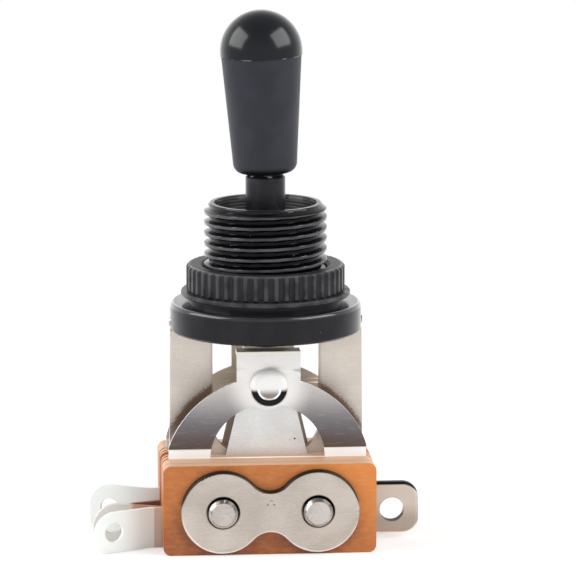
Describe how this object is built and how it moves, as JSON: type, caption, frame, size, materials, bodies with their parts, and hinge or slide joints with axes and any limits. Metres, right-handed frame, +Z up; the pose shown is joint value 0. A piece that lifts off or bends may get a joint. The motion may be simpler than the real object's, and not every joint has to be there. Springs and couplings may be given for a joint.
{
  "type": "guitar pickup selector switch",
  "caption": "Panel-mount toggle switch: rounded black tip on a rocking lever, threaded bushing with fluted nut, springy arched contact leaves and a riveted amber insulating stack.",
  "frame": {"origin": "centre of the raised land on the bushing's flange, where the panel sits", "axes": "+Z up the bushing towards the tip; the lever rocks to the front (-Y) and the back (+Y) about a pin along X"},
  "size_m": [0.0322, 0.0186, 0.0525],
  "materials": {
    "black_metal": "satin black plating",
    "black_plastic": "moulded matte body with a polished dome",
    "black_steel": "satin black plating",
    "bright_steel": "bright plated",
    "nickel_blade": "nickel plating with small pits",
    "nickel_clamp": "nickel plating with tumbled edges",
    "nickel_frame": "warm nickel plating, faintly speckled",
    "nickel_spring": "nickel plating with fine scratches",
    "phenolic_sheet": "amber paper-phenolic sheet with cut edges",
    "silver_contact": "dull silver",
    "white_nylon": "plain moulded nylon"
  },
  "bodies": {
    "housing_body": {"bushing": "black_metal", "frame": "nickel_frame", "front_centre_leaf": "nickel_blade", "front_clamp_plate": "nickel_clamp", "front_contact": "silver_contact", "front_contact_leaf": "nickel_spring", "front_cover_insulator": "phenolic_sheet", "front_inner_insulator": "phenolic_sheet", "front_middle_insulator": "phenolic_sheet", "front_outer_insulator": "phenolic_sheet", "left_rivet": "bright_steel", "left_sleeve": "white_nylon", "pivot_pin": "bright_steel", "rear_centre_leaf": "nickel_blade", "rear_clamp_plate": "nickel_clamp", "rear_contact": "silver_contact", "rear_contact_leaf": "nickel_spring", "rear_cover_insulator": "phenolic_sheet", "rear_inner_insulator": "phenolic_sheet", "rear_middle_insulator": "phenolic_sheet", "rear_outer_insulator": "phenolic_sheet", "right_rivet": "bright_steel", "right_sleeve": "white_nylon", "washer": "black_metal"},
    "lever_body": {"lever": "black_steel", "tip": "black_plastic", "actuator": "white_nylon"},
    "nut_body": {"nut": "black_metal"}
  },
  "joints": [
    {"name": "lever_rock", "type": "hinge", "parent": "housing_body", "child": "lever_body", "pos_m": [0, 0, -0.00265], "axis": [1, 0, 0], "range_deg": [-12, 12], "deforming": ["front_contact_leaf", "rear_contact_leaf", "front_contact", "rear_contact"]},
    {"name": "nut_travel", "type": "slide", "parent": "housing_body", "child": "nut_body", "axis": [0, 0, 1], "range_m": [0, 0.006]}
  ]
}
